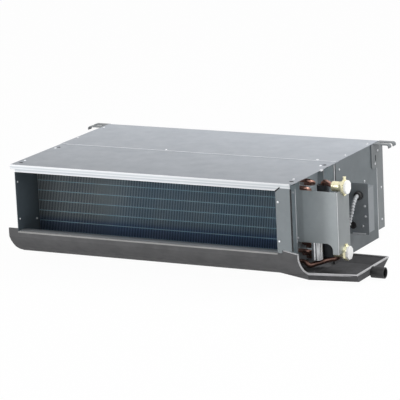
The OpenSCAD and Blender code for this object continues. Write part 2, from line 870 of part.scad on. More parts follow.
module bottom_panel() {
    color(galvanised) placed() {
        slab([sheet, fan_front + sheet, -casing_h], [casing_w - sheet, fan_rear, sheet - casing_h]);
        for (x = [sheet, casing_w - 2 * sheet])
            slab([x, fan_front + 2 * fold_w, sheet - casing_h],
                 [x + sheet, fan_rear - fold_w, fold_w - casing_h]);
    }
}

module rear_panel() {
    color(galvanised) placed() translate([0, fan_rear, 0]) rotate([90, 0, 0]) linear_extrude(sheet)
        difference() {
            translate([sheet, sheet - casing_h]) square([casing_w - 2 * sheet, casing_h - 2 * sheet]);
            translate([collar_inset + inlet_flange, inlet_flange - collar_drop - collar_h])
                square([casing_w - 2 * (collar_inset + inlet_flange), collar_h - 2 * inlet_flange]);
        }
}

module collar_outline(inset) {
    translate([collar_inset + inset, inset - collar_drop - collar_h])
        square([casing_w - 2 * (collar_inset + inset), collar_h - 2 * inset]);
}

module inlet_collar() {
    color(shade_steel) placed() {
        translate([0, fan_rear + collar_depth, 0]) rotate([90, 0, 0]) linear_extrude(collar_depth)
            difference() {
                collar_outline(0);
                collar_outline(sheet);
            }
        translate([0, fan_rear + sheet, 0]) rotate([90, 0, 0]) linear_extrude(sheet)
            difference() {
                collar_outline(sheet / 2);
                collar_outline(inlet_flange);
            }
    }
}

// Blower scroll: the radius grows evenly from the tongue, over the top and back, to the outlet
scroll_steps = 30;
function scroll_angle(i) = tongue_angle + (outlet_angle - tongue_angle) * i / scroll_steps;
function scroll_r(i) = scroll_start + scroll_growth * i / scroll_steps;
function scroll_point(i, grow) = [
    shaft_y + (scroll_r(i) + grow) * cos(scroll_angle(i)),
    -shaft_drop + (scroll_r(i) + grow) * sin(scroll_angle(i))
];
function outlet_low() = -shaft_drop - scroll_start - scroll_growth;
function outlet_high() = scroll_point(0, 0)[1];

module scroll_outline(grow) {
    polygon(concat(
        [for (i = [0 : scroll_steps]) scroll_point(i, grow)],
        [
            [fan_front + sheet - min(grow, 0), outlet_low() - grow],
            [fan_front + sheet - min(grow, 0), outlet_high() + grow]
        ]
    ));
}

module blower_housing(x) {
    color(galvanised) placed() {
        x_profile(x, x + housing_w) difference() {
            scroll_outline(sheet);
            scroll_outline(0);
        }
        for (side = [x, x + housing_w - sheet])
            x_profile(side, side + sheet) difference() {
                scroll_outline(sheet / 2);
                translate([shaft_y, -shaft_drop]) circle(d = inlet_d);
            }
        translate([x, fan_front + 2 * sheet, 0]) rotate([90, 0, 0]) linear_extrude(sheet) difference() {
            translate([-outlet_flange, outlet_low() - sheet])
                square([housing_w + 2 * outlet_flange, outlet_high() - outlet_low() + outlet_flange]);
            translate([sheet / 2, outlet_low() + sheet / 2])
                square([housing_w - sheet, outlet_high() - outlet_low() - sheet]);
        }
    }
}

module left_blower_housing() {
    blower_housing(left_blower_x);
}

module right_blower_housing() {
    blower_housing(right_blower_x);
}

// One forward-curved blade, drawn as an arc between the inner and the outer radius
blade_steps = 4;
blade_sweep = 14;
blade_edge = 1.3;
function blade_point(i, t) = let (
    r = impeller_d / 2 - blade_depth + blade_edge + (blade_depth - 2 * blade_edge) * i / blade_steps,
    a = blade_sweep * pow(i / blade_steps, 2)
) [(r * cos(a)) - t * sin(a + 40), r * sin(a) + t * cos(a + 40)];

module blade() {
    polygon(concat(
        [for (i = [0 : blade_steps]) blade_point(i, 0)],
        [for (i = [blade_steps : -1 : 0]) blade_point(i, blade_t)]
    ));
}

module rim() {
    difference() {
        circle(d = impeller_d);
        circle(d = impeller_d - 2 * blade_depth);
    }
}

module impeller(x) {
    mid = x + housing_w / 2;
    from = mid - impeller_l / 2;
    color(soft_black) placed() translate([0, shaft_y, -shaft_drop]) difference() {
        union() {
            x_profile(from + rim_t / 2, from + impeller_l - rim_t / 2) for (i = [0 : blade_count - 1])
                rotate(360 * i / blade_count) blade();
            x_profile(from, from + rim_t) rim();
            x_profile(from + impeller_l - rim_t, from + impeller_l) rim();
            x_profile(mid - hub_disc_t / 2, mid + hub_disc_t / 2) circle(d = impeller_d);
            x_profile(mid - hub_l / 2, mid + hub_l / 2) circle(d = hub_d);
        }
        x_cylinder(mid - hub_l, mid + hub_l, 0, 0, shaft_d + 2 * hub_fit);
    }
}

module left_impeller() {
    impeller(left_blower_x);
}

module right_impeller() {
    impeller(right_blower_x);
}

module motor_shaft() {
    past_hub = hub_l / 2 + 6;
    color(bright_steel) placed()
        x_cylinder(left_blower_x + housing_w / 2 - past_hub, right_blower_x + housing_w / 2 + past_hub,
                   shaft_y, -shaft_drop, shaft_d);
}

module motor_body() {
    half = motor_l / 2;
    chamfer = 10;
    rib_d = motor_d + 4;
    color(shade_steel) placed() difference() {
        x_revolve(motor_mid, shaft_y, -shaft_drop) polygon([
            [0, -half - boss_l], [boss_d / 2, -half - boss_l], [boss_d / 2, -half],
            [motor_d / 2 - chamfer, -half], [motor_d / 2, chamfer - half], [motor_d / 2, -3],
            [rib_d / 2, -3], [rib_d / 2, 3], [motor_d / 2, 3],
            [motor_d / 2, half - chamfer], [motor_d / 2 - chamfer, half], [boss_d / 2, half],
            [boss_d / 2, half + boss_l], [0, half + boss_l]
        ]);
        x_cylinder(motor_mid - motor_l, motor_mid + motor_l, shaft_y, -shaft_drop, shaft_d + 2 * shaft_fit);
    }
}

function ring_from(side) = motor_mid + side * (motor_l / 2 + boss_l / 2) - boss_l / 2 + 1;

module motor_rings() {
    color(soft_black) placed() for (side = [-1, 1]) difference() {
        x_cylinder(ring_from(side), ring_from(side) + boss_l - 2, shaft_y, -shaft_drop,
                   boss_d + 2 * ring_t);
        x_cylinder(ring_from(side) - 1, ring_from(side) + boss_l, shaft_y, -shaft_drop,
                   boss_d + 2 * tube_fit);
    }
}

module motor_cradle() {
    floor_z = sheet - casing_h;
    seat_d = boss_d + 2 * (ring_t + tube_fit);
    color(galvanised) placed() {
        slab([ring_from(-1) - 4, shaft_y - cradle_w / 2, floor_z],
             [ring_from(1) + boss_l + 2, shaft_y + cradle_w / 2, floor_z + cradle_t]);
        for (side = [-1, 1]) {
            mid = ring_from(side) + boss_l / 2 - 1;
            x_profile(mid - cradle_t / 2, mid + cradle_t / 2) difference() {
                polygon([
                    [shaft_y - cradle_w / 2, floor_z + cradle_t / 2],
                    [shaft_y + cradle_w / 2, floor_z + cradle_t / 2],
                    [shaft_y + seat_d / 2 + 6, saddle_rise - shaft_drop],
                    [shaft_y - seat_d / 2 - 6, saddle_rise - shaft_drop]
                ]);
                translate([shaft_y, -shaft_drop]) circle(d = seat_d);
                translate([shaft_y - seat_d / 2 + 3, -shaft_drop])
                    square([seat_d - 6, seat_d]);
            }
        }
    }
}

// Rear hangers: an upright leg on the side panel and a forked leg with hooked ends
module hanger() {
    front = hanger_y - fork_w / 2;
    back = hanger_y + fork_w / 2;
    leg_front = leg_y - hanger_w / 2;
    leg_back = leg_y + hanger_w / 2;
    tip = casing_w + hanger_reach;
    outer_r = hook_r + hanger_t;
    color(galvanised) {
        difference() {
            union() {
                slab([casing_w, front, -hanger_t], [tip - outer_r, back, 0]);
                translate([tip - outer_r, back, -outer_r]) rotate([90, 0, 0]) linear_extrude(fork_w)
                    intersection() {
                        difference() {
                            circle(r = outer_r);
                            circle(r = hook_r);
                        }
                        square(outer_r);
                    }
                slab([tip - hanger_t, front, -hook_h], [tip, back, -outer_r]);
            }
            slab([tip - hanger_slot_l, hanger_y - hanger_slot / 2, -hook_h - 1],
                 [tip + 1, hanger_y + hanger_slot / 2, 1]);
            z_cylinder(-2 * hanger_t, hanger_t, tip - hanger_slot_l, hanger_y, hanger_slot);
        }
        difference() {
            union() {
                slab([casing_w, leg_front, leg_r - hanger_h], [casing_w + hanger_t, leg_back, -hanger_t]);
                slab([casing_w, leg_front + leg_r, -hanger_h],
                     [casing_w + hanger_t, leg_back - leg_r, leg_r - hanger_h]);
                slab([casing_w, leg_front, -hanger_t], [casing_w + hanger_t, leg_back, 0]);
                for (y = [leg_front + leg_r, leg_back - leg_r])
                    x_cylinder(casing_w, casing_w + hanger_t, y, leg_r - hanger_h, 2 * leg_r);
            }
            slab([casing_w - 1, leg_y - 2.5, -hanger_h * 0.72],
                 [casing_w + hanger_t + 1, leg_y + 2.5, -hanger_h * 0.48]);
        }
    }
}

module left_hanger() {
    placed() mirrored_side() hanger();
}

module right_hanger() {
    placed() hanger();
}

// Control box on the right side panel, with a front plate that stands past its top and bottom
module control_box() {
    color(shade_steel) placed() difference() {
        union() {
            slab([casing_w, box_y, body_bottom], [casing_w + box_w - sheet, box_y + box_depth, body_top]);
            slab([casing_w, box_y, box_top - box_h], [casing_w + box_w, box_y + sheet, box_top]);
        }
        slab([casing_w + sheet, box_y + sheet, body_bottom + sheet],
             [casing_w + box_w, box_y + box_depth - sheet, body_top - sheet]);
        y_cylinder(box_y - 1, box_y + 2 * sheet, gland_x, gland_z, conduit_d);
        y_cylinder(box_y - 1, box_y + 2 * sheet, bush_x, bush_z, bush_d - 4);
    }
}

module control_box_cover() {
    lip = 8;
    inset = sheet + 0.2;
    outer = casing_w + box_w;
    inside = [outer - sheet, box_y + inset, body_bottom + inset];
    color(galvanised) placed() {
        slab([outer - sheet, box_y + sheet, body_bottom], [outer, box_y + box_depth, body_top]);
        difference() {
            slab([inside[0] - lip, inside[1], inside[2]],
                 [inside[0], box_y + box_depth - inset, body_top - inset]);
            slab([inside[0] - lip - 1, inside[1] + sheet, inside[2] + sheet],
                 [inside[0] + 1, box_y + box_depth - inset - sheet, body_top - inset - sheet]);
        }
    }
}

module cable_gland() {
    color(soft_black) placed() difference() {
        union() {
            y_cylinder(box_y - gland_l, box_y - gland_l / 2, gland_x, gland_z, gland_d - 3);
            translate([gland_x, box_y, gland_z]) rotate([90, 0, 0])
                cylinder(h = gland_l / 2, d = gland_d, $fn = 6);
        }
        y_cylinder(box_y - gland_l - 1, box_y + 1, gland_x, gland_z, conduit_d + 2 * socket_gap);
    }
}

module cable_bush() {
    color(soft_black) placed() translate([bush_x, box_y, bush_z]) rotate([90, 0, 0]) rotate_extrude()
        polygon([[0, 0], [bush_d / 2, 0], [bush_d / 2, 1.5], [bush_d / 2 - 2, 3], [0, 2]]);
}

module conduit_bush() {
    color(soft_black) placed() difference() {
        x_cylinder(casing_w, casing_w + 3, conduit_hole[1], conduit_hole[2], conduit_d + 9);
        x_cylinder(casing_w - 1, casing_w + 4, conduit_hole[1], conduit_hole[2],
                   conduit_d + 2 * socket_gap);
    }
}

// Conduit from the gland to the side panel, swept along its own points
conduit_sides = 12;
conduit_bend = [
    [0, -0.5, 0], [0, -14, 0], [0, -20, -3], [0, -27, -9], [-1, -32, -17], [-2, -35.5, -27], [-4, -37, -38],
    [-7, -38, -49]
];
conduit_route = concat(
    [for (p = conduit_bend) [gland_x, box_y, gland_z] + p],
    [
        [gland_x - 11, conduit_hole[1], conduit_hole[2] + 16],
        [gland_x - 17, conduit_hole[1], conduit_hole[2] + 5],
        [casing_w + 7, conduit_hole[1], conduit_hole[2]], [casing_w - 4, conduit_hole[1], conduit_hole[2]]
    ]
);

function route_direction(i) = unit(
    conduit_route[min(i + 1, len(conduit_route) - 1)] - conduit_route[max(i - 1, 0)]
);
function ring_points(i) = let (
    along = route_direction(i),
    side = unit(cross(along, [0.9, -0.1, 0.42])),
    up = cross(side, along)
) [
    for (k = [0 : conduit_sides - 1])
        conduit_route[i] + conduit_d / 2 * (cos(360 * k / conduit_sides) * side
                                            + sin(360 * k / conduit_sides) * up)
];

module wiring_conduit() {
    rings = len(conduit_route);
    points = [for (i = [0 : rings - 1]) each ring_points(i)];
    walls = [
        for (i = [0 : rings - 2], k = [0 : conduit_sides - 1])
            let (next = (k + 1) % conduit_sides)
            [
                i * conduit_sides + k, i * conduit_sides + next,
                (i + 1) * conduit_sides + next, (i + 1) * conduit_sides + k
            ]
    ];
    start_cap = [for (k = [conduit_sides - 1 : -1 : 0]) k];
    end_cap = [for (k = [0 : conduit_sides - 1]) (rings - 1) * conduit_sides + k];
    color(bright_steel) placed() polyhedron(points, concat(walls, [start_cap, end_cap]), convexity = 6);
}

module terminal_block() {
    ways = 5;
    way_w = 11;
    block_z = body_top - 6;
    color("ivory") placed() difference() {
        slab([casing_w + sheet, box_y + 10, block_z - ways * way_w], [casing_w + 20, box_y + 26, block_z]);
        for (i = [0 : ways - 1])
            x_cylinder(casing_w + 12, casing_w + 21, box_y + 18, block_z - (i + 0.5) * way_w, 5);
    }
}

module run_capacitor() {
    color("ivory") placed() x_revolve(casing_w + sheet, box_y + box_depth / 2, body_bottom + 18)
        polygon([[0, 0], [13, 0], [13, 28], [11, 30], [0, 30]]);
}

// Fasteners
module screw_up(x, y, z) {
    z_cylinder(z, z + screw_h, x, y, screw_d);
}

module screw_right(x, y, z) {
    x_cylinder(x, x + screw_h, y, z, screw_d);
}

module screw_front(x, y, z) {
    y_cylinder(y - screw_h, y, x, z, screw_d);
}

module casing_screws() {
    leg_screws = [[leg_y + 13, -hanger_h * 0.33], [leg_y - 4, -hanger_h * 0.82]];
    collar_screws = [0.5, 0.89];
    color("silver") placed() {
        for (x = [casing_w * 0.39, casing_w * 0.93])
            screw_up(x, seam_y + top_lap / 2, sheet);
        for (x = [fold_w * 0.7, casing_w - fold_w * 0.7], y = [seam_y + 70, fan_rear - 28])
            screw_up(x, y, sheet);
        for (p = [[fan_front + 26, -21], [fan_front + 168, -81]])
            screw_right(casing_w, p[0], p[1]);
        for (p = leg_screws)
            screw_right(casing_w + hanger_t, p[0], p[1]);
        for (f = collar_screws)
            screw_right(casing_w - collar_inset, fan_rear + collar_depth * 0.64,
                        -collar_drop - collar_h * f);
        mirrored_side() for (p = leg_screws)
            screw_right(casing_w + hanger_t, p[0], p[1]);
    }
}

module coil_screws() {
    color("silver") placed() {
        for (x = [mouth_left + 2, mouth_right + 25], y = [48, fan_front - 36])
            screw_up(x, y, 0);
        for (drop = [26, mouth_h - 28])
            screw_front(mouth_right + 6, 0, -flange_h - drop);
        for (p = [[11, flange_h + 27], [12, mouth_floor - 28], [mouth_depth - 9, mouth_floor - 11]])
            screw_right(mouth_left, p[0], -p[1]);
        screw_front(mouth_right + 8, flange_y, -38);
        screw_front(bracket_left - 0.65 * bracket_tab, bracket_y - sheet, 9 - cutout_top);
        for (p = [[0.82, 0.44], [0.84, 0.64], [0.7, 0.83]])
            screw_front(casing_w + box_w * p[0], box_y, box_top - box_h * p[1]);
    }
}

front_top_panel();
rear_top_panel();
discharge_top_flange();
discharge_sill();
left_discharge_side();
right_discharge_side();
left_tube_sheet();
right_tube_sheet();
coil_fins();
coil_tubes();
left_return_bends();
right_return_bends();
supply_header();
return_header();
header_sleeve();
supply_pipe();
return_pipe();
supply_fitting();
return_fitting();
supply_cap();
return_cap();
vent_screw();
pipe_bracket();
drain_pan();
valve_tray();
drain_stub();
fan_deck();
left_side_panel();
right_side_panel();
bottom_panel();
rear_panel();
inlet_collar();
left_blower_housing();
right_blower_housing();
left_impeller();
right_impeller();
motor_shaft();
motor_body();
motor_rings();
motor_cradle();
left_hanger();
right_hanger();
control_box();
control_box_cover();
cable_gland();
cable_bush();
wiring_conduit();
conduit_bush();
terminal_block();
run_capacitor();
casing_screws();
coil_screws();
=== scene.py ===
import math

import bmesh
import bpy
from mathutils import Matrix, Vector


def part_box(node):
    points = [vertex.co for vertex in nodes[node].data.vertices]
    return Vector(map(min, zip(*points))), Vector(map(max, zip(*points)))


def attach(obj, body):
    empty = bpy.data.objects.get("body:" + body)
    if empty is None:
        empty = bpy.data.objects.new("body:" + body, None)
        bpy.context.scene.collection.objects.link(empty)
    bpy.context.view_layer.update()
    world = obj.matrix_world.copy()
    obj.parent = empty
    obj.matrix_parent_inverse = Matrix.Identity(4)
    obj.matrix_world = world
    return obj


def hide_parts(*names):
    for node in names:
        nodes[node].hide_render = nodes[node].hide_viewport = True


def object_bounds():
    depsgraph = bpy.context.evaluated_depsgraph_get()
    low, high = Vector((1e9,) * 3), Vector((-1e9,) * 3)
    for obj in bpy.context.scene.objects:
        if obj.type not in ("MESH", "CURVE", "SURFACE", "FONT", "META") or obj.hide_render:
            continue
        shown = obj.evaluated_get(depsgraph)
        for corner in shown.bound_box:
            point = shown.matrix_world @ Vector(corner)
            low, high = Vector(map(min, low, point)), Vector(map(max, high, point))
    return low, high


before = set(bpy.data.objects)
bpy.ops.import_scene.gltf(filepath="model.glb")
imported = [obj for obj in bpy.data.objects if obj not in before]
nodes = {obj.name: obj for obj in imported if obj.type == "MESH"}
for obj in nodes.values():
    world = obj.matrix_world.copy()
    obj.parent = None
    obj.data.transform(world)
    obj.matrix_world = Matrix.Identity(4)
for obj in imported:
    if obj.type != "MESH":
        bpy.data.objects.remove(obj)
cad_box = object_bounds()

# The casing's own measuring corner, front top left, seen from the part's origin, in metres
CORNER = Vector((-0.3815, -0.475, 0.0))
ALONG_X = Vector((1.0, 0.0, 0.0))
FORWARD = Vector((0.0, -1.0, 0.0))
UPWARD = Vector((0.0, 0.0, 1.0))
WHITE = (1.0, 1.0, 1.0)


# Camera, fitted to the straight edges of the casing
PHOTO_PIXELS = 400
FOCAL_PIXELS = 2648.1
SENSOR_MM = 36.0
CAMERA_AZIMUTH = math.radians(28.36)
CAMERA_ELEVATION = math.radians(13.26)
CAMERA_ROLL = math.radians(-2.73)
CAMERA_FROM_CORNER = Vector((3.3961, -5.3267, 1.3733))
CLIP_NEAR = 0.05
CLIP_FAR = 60.0


def camera_axes():
    a, e, r = CAMERA_AZIMUTH, CAMERA_ELEVATION, CAMERA_ROLL
    right = Vector((math.cos(a), math.sin(a), 0.0))
    up = Vector((-math.sin(a) * math.sin(e), math.cos(a) * math.sin(e), math.cos(e)))
    back = Vector((math.sin(a) * math.cos(e), -math.cos(a) * math.cos(e), math.sin(e)))
    turned_right = right * math.cos(r) + up * math.sin(r)
    turned_up = up * math.cos(r) - right * math.sin(r)
    return turned_right, turned_up, back


def make_camera():
    data = bpy.data.cameras.new("photo_camera")
    data.sensor_fit = "HORIZONTAL"
    data.sensor_width = SENSOR_MM
    data.lens = FOCAL_PIXELS * SENSOR_MM / PHOTO_PIXELS
    data.clip_start = CLIP_NEAR
    data.clip_end = CLIP_FAR
    camera = bpy.data.objects.new("photo_camera", data)
    right, up, back = camera_axes()
    place = CORNER + CAMERA_FROM_CORNER
    camera.matrix_world = Matrix((
        (right.x, up.x, back.x, place.x),
        (right.y, up.y, back.y, place.y),
        (right.z, up.z, back.z, place.z),
        (0.0, 0.0, 0.0, 1.0),
    ))
    bpy.context.collection.objects.link(camera)
    bpy.context.scene.camera = camera


# Mesh helpers
SAME_POINT = 1e-6
NEARLY_UPRIGHT = 0.9
SHORT_NORMAL = 0.1
ROUTE_STEPS = 24
BOX_FACES = ((0, 1, 3, 2), (4, 6, 7, 5), (0, 4, 5, 1), (2, 3, 7, 6), (0, 2, 6, 4), (1, 5, 7, 3))


def at(x, y, z):
    """A point measured in millimetres from the casing's front top left corner."""
    return CORNER + Vector((x, y, z)) / 1000.0


def points_at(places):
    return [at(*place) for place in places]


def add_mesh_object(name, bm, material, smooth=False):
    """A piece on the casing, from a finished mesh."""
    bmesh.ops.recalc_face_normals(bm, faces=bm.faces)
    mesh = bpy.data.meshes.new(name)
    bm.to_mesh(mesh)
    bm.free()
    if smooth:
        for polygon in mesh.polygons:
            polygon.use_smooth = True
    piece = bpy.data.objects.new(name, mesh)
    bpy.context.collection.objects.link(piece)
    piece.data.materials.append(material)
    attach(piece, "casing")
    return piece


def islands(node):
    """The lowest and highest corner of each separate solid in a CAD node."""
    bm = bmesh.new()
    bm.from_mesh(nodes[node].data)
    bmesh.ops.remove_doubles(bm, verts=bm.verts, dist=SAME_POINT)
    seen = set()
    boxes = []
    for start in bm.verts:
        if start in seen:
            continue
        stack = [start]
        seen.add(start)
        group = []
        while stack:
            vert = stack.pop()
            group.append(vert.co.copy())
            for edge in vert.link_edges:
                other = edge.other_vert(vert)
                if other not in seen:
                    seen.add(other)
                    stack.append(other)
        low = Vector([min(p[k] for p in group) for k in range(3)])
        high = Vector([max(p[k] for p in group) for k in range(3)])
        boxes.append((low, high))
    bm.free()
    return boxes


def axes_round(direction):
    """Two unit vectors square to a direction."""
    helper = UPWARD if abs(direction.z) < NEARLY_UPRIGHT else ALONG_X
    side = direction.cross(helper).normalized()
    return side, direction.cross(side).normalized()


def add_ring(bm, centre, side, up, radius, count):
    """Vertices on a circle in the plane of two unit vectors."""
    ring = []
    for k in range(count):
        angle = 2.0 * math.pi * k / count
        offset = side * (radius * math.cos(angle)) + up * (radius * math.sin(angle))
        ring.append(bm.verts.new(centre + offset))
    return ring


def add_rings(bm, centre, direction, profile, count):
    """One ring about a line for each (radius, height) pair."""
    side, up = axes_round(direction)
    return [add_ring(bm, centre + direction * height, side, up, radius, count) for radius, height in profile]


def bridge(bm, lower, upper):
    """A band of quads between two rings with as many vertices."""
    count = len(lower)
    for k in range(count):
        n = (k + 1) % count
        bm.faces.new((lower[k], lower[n], upper[n], upper[k]))


def add_bands(bm, rings):
    for lower, upper in zip(rings, rings[1:]):
        bridge(bm, lower, upper)


def add_capped(bm, rings):
    """A skin over a row of rings, with a face at each end."""
    add_bands(bm, rings)
    bm.faces.new(list(reversed(rings[0])))
    bm.faces.new(rings[-1])


def add_looped(bm, rings):
    """A skin over a row of rings that goes back from the last to the first."""
    add_bands(bm, rings)
    bridge(bm, rings[-1], rings[0])


def add_box(bm, low, high):
    xs, ys, zs = zip(low, high)
    corners = [bm.verts.new((x, y, z)) for x in xs for y in ys for z in zs]
    for quad in BOX_FACES:
        bm.faces.new([corners[k] for k in quad])


def add_sweep(bm, path, radii, sides):
    """A closed tube along a path, with one radius for each of its points."""
    rings = []
    normal = ALONG_X
    for i, point in enumerate(path):
        along = (path[min(i + 1, len(path) - 1)] - path[max(i - 1, 0)]).normalized()
        normal = normal - along * normal.dot(along)
        if normal.length < SHORT_NORMAL:
            normal = axes_round(along)[0]
        normal.normalize()
        rings.append(add_ring(bm, point, normal, along.cross(normal), radii[i], sides))
    add_capped(bm, rings)


def smooth_route(points, step):
    """Points at an even step along a Catmull-Rom curve through the given points."""
    fine = []
    for i in range(len(points) - 1):
        p0, p1 = points[max(i - 1, 0)], points[i]
        p2, p3 = points[i + 1], points[min(i + 2, len(points) - 1)]
        for k in range(ROUTE_STEPS):
            t = k / ROUTE_STEPS
            fine.append(0.5 * (2 * p1 + (p2 - p0) * t + (2 * p0 - 5 * p1 + 4 * p2 - p3) * t ** 2
                               + (3 * p1 - p0 - 3 * p2 + p3) * t ** 3))
    fine.append(points[-1])
    even = [fine[0]]
    walked = 0.0
    for a, b in zip(fine, fine[1:]):
        walked += (b - a).length
        if walked >= step:
            even.append(b)
            walked = 0.0
    return even


# Material helpers
NOISE_LOW = 0.3
NOISE_HIGH = 0.7


def add_math(tree, operation, *values):
    """The result of a Math node, whose inputs are numbers or sockets."""
    made = tree.nodes.new("ShaderNodeMath")
    made.operation = operation
    for socket, value in zip(made.inputs, values):
        if isinstance(value, float):
            socket.default_value = value
        else:
            tree.links.new(value, socket)
    return made.outputs["Value"]


class Shader:
    """A material with a Principled shader and short ways to add texture nodes to it."""

    def __init__(self, name, colour, roughness=0.5, metallic=0.0):
        self.material = bpy.data.materials.new(name)
        self.material.use_nodes = True
        self.tree = self.material.node_tree
        self.shader = self.tree.nodes["Principled BSDF"]
        self.shader.inputs["Base Color"].default_value = (*colour, 1.0)
        self.shader.inputs["Roughness"].default_value = roughness
        self.shader.inputs["Metallic"].default_value = metallic
        self.place = self.tree.nodes.new("ShaderNodeTexCoord").outputs["Object"]
        self.bump_from = None

    def node(self, kind, **inputs):
        made = self.tree.nodes.new(kind)
        for key, value in inputs.items():
            made.inputs[key.replace("_", " ")].default_value = value
        return made

    def link(self, source, target):
        self.tree.links.new(source, target)

    def stretched(self, scale):
        mapping = self.node("ShaderNodeMapping", Scale=scale)
        self.link(self.place, mapping.inputs["Vector"])
        return mapping.outputs["Vector"]

    def noise(self, scale, detail=3.0, stretch=None):
        made = self.node("ShaderNodeTexNoise", Scale=scale, Detail=detail)
        self.link(self.stretched(stretch) if stretch else self.place, made.inputs["Vector"])
        return made.outputs["Fac"]

    def cells(self, scale):
        made = self.node("ShaderNodeTexVoronoi", Scale=scale)
        self.link(self.place, made.inputs["Vector"])
        return made.outputs["Color"]

    def ramp(self, source, stops):
        made = self.tree.nodes.new("ShaderNodeValToRGB")
        elements = made.color_ramp.elements
        while len(elements) < len(stops):
            elements.new(0.5)
        for element, (position, colour) in zip(elements, stops):
            element.position = position
            element.color = (*colour, 1.0)
        self.link(source, made.inputs["Fac"])
        return made.outputs["Color"]

    def spread(self, source, low, high):
        """A noise value stretched over a range."""
        return self.mapped(source, NOISE_LOW, NOISE_HIGH, low, high)

    def mapped(self, source, start, end, at_start, at_end):
        made = self.node("ShaderNodeMapRange", From_Min=start, From_Max=end, To_Min=at_start, To_Max=at_end)
        self.link(source, made.inputs["Value"])
        return made.outputs["Result"]

    def axis(self, name):
        parts = self.tree.nodes.new("ShaderNodeSeparateXYZ")
        self.link(self.place, parts.inputs["Vector"])
        return parts.outputs[name]

    def fade(self, source, start, end):
        """One up to the start value and zero from the end value on."""
        return self.mapped(source, start, end, 1.0, 0.0)

    def band(self, axis, pitch, start, inner, outer):
        """One on lines that stand at a pitch along an axis; inner and outer are shares of the pitch."""
        steps = add_math(self.tree, "MULTIPLY_ADD", self.axis(axis), 1.0 / pitch, -start / pitch)
        return self.fade(add_math(self.tree, "PINGPONG", steps, 0.5), inner, outer)

    def below(self, axis, level, soft):
        return self.fade(self.axis(axis), level, level + soft)

    def mix(self, factor, first, second, blend="MIX"):
        made = self.tree.nodes.new("ShaderNodeMix")
        made.data_type = "RGBA"
        made.blend_type = blend
        if isinstance(factor, float):
            made.inputs["Factor"].default_value = factor
        else:
            self.link(factor, made.inputs["Factor"])
        self.link(first, made.inputs["A"])
        self.link(second, made.inputs["B"])
        return made.outputs["Result"]

    def times(self, first, second):
        return self.mix(1.0, first, second, "MULTIPLY")

    def colour(self, source):
        self.link(source, self.shader.inputs["Base Color"])

    def roughness(self, source):
        self.link(source, self.shader.inputs["Roughness"])

    def bump(self, source, strength, distance):
        made = self.node("ShaderNodeBump", Strength=strength, Distance=distance)
        self.link(source, made.inputs["Height"])
        if self.bump_from:
            self.link(self.bump_from, made.inputs["Normal"])
        self.bump_from = made.outputs["Normal"]
        self.link(self.bump_from, self.shader.inputs["Normal"])


def shade(colour, factor):
    return tuple(min(1.0, channel * factor) for channel in colour)


def tinted(s, base, tint):
    """The base colour times a tint that changes along one axis, with its stops from the end to the start."""
    if not tint:
        return base
    axis, start, end, stops = tint
    return s.times(base, s.ramp(s.fade(s.axis(axis), start, end), [(place, (t, t, t)) for place, t in stops]))


# Materials
def zinc_sheet(name, colour, metallic=0.35, tint=None):
    """Zinc-coated sheet: faint spangle, soft blotches and a rolled grain."""
    s = Shader(name, colour, roughness=0.42, metallic=metallic)
    blotch = s.ramp(s.noise(9.0, 4.0), [(0.3, shade(colour, 0.95)), (0.7, shade(colour, 1.04))])
    spangle = s.ramp(s.cells(90.0), [(0.0, (0.94, 0.94, 0.95)), (1.0, WHITE)])
    s.colour(tinted(s, s.times(blotch, spangle), tint))
    s.roughness(s.spread(s.noise(25.0, 5.0), 0.38, 0.50))
    s.bump(s.noise(420.0, 2.0, stretch=(1.0, 0.15, 1.0)), 0.03, 0.0004)
    return s.material


def turned_metal(name, colour, roughness=0.3, metallic=0.9, tint=None):
    s = Shader(name, colour, roughness=roughness, metallic=metallic)
    tarnish = s.ramp(s.noise(55.0, 5.0), [
        (0.28, shade(colour, 0.72)), (0.5, colour), (0.75, shade(colour, 1.12)),
    ])
    s.colour(tinted(s, tarnish, tint))
    s.roughness(s.spread(s.noise(120.0, 4.0), roughness * 0.8, roughness * 1.35))
    s.bump(s.noise(900.0, 2.0), 0.08, 0.0002)
    return s.material


def plastic(name, colour, roughness):
    s = Shader(name, colour, roughness=roughness)
    s.colour(s.ramp(s.noise(40.0, 4.0), [(0.3, shade(colour, 0.88)), (0.7, shade(colour, 1.1))]))
    s.roughness(s.spread(s.noise(90.0, 3.0), roughness * 0.85, roughness * 1.15))
    s.bump(s.noise(500.0, 2.0), 0.12, 0.0003)
    return s.material


def foam(name, colour):
    """Closed-cell foam: fine pits and a dusty, uneven colour."""
    s = Shader(name, colour, roughness=0.9)
    s.colour(s.ramp(s.noise(18.0, 6.0), [(0.3, shade(colour, 0.86)), (0.72, shade(colour, 1.14))]))
    s.roughness(s.spread(s.noise(60.0, 3.0), 0.78, 0.95))
    s.bump(s.noise(650.0, 3.0), 0.3, 0.0006)
    s.bump(s.noise(35.0, 2.0), 0.2, 0.002)
    return s.material


SILL_FRONT = CORNER.y - 0.001
SILL_BACK = CORNER.y + 0.030


def sill_sheet(name):
    """Folded sill in painted light and shade: the ledge darker towards the back, in shade under the flange,
    and paler towards its front edge, and the front lip a darker grey against the direct light it gets.
    """
    s = Shader(name, (0.3, 0.3, 0.3), roughness=0.5, metallic=0.2)
    # Painted light and shade along the sill's depth
    light_and_shade_by_depth = s.ramp(s.fade(s.axis("Y"), SILL_FRONT, SILL_BACK), [
        (0.10, (0.15, 0.165, 0.185)), (0.7, (0.50, 0.515, 0.535)), (0.955, (0.46, 0.465, 0.47)),
        (0.97, (0.28, 0.28, 0.275)),
    ])
    blotch = s.ramp(s.noise(14.0, 4.0), [(0.3, (0.82, 0.82, 0.82)), (0.7, WHITE)])
    s.colour(s.times(light_and_shade_by_depth, blotch))
    s.roughness(s.spread(s.noise(40.0, 3.0), 0.42, 0.6))
    return s.material


LIP_H = 0.018
# Painted shade: the lip darker towards its right end
LIP_SHADE_TINT = ("X", CORNER.x + 0.40, CORNER.x + 0.74, [(0.0, 0.88), (1.0, 1.0)])


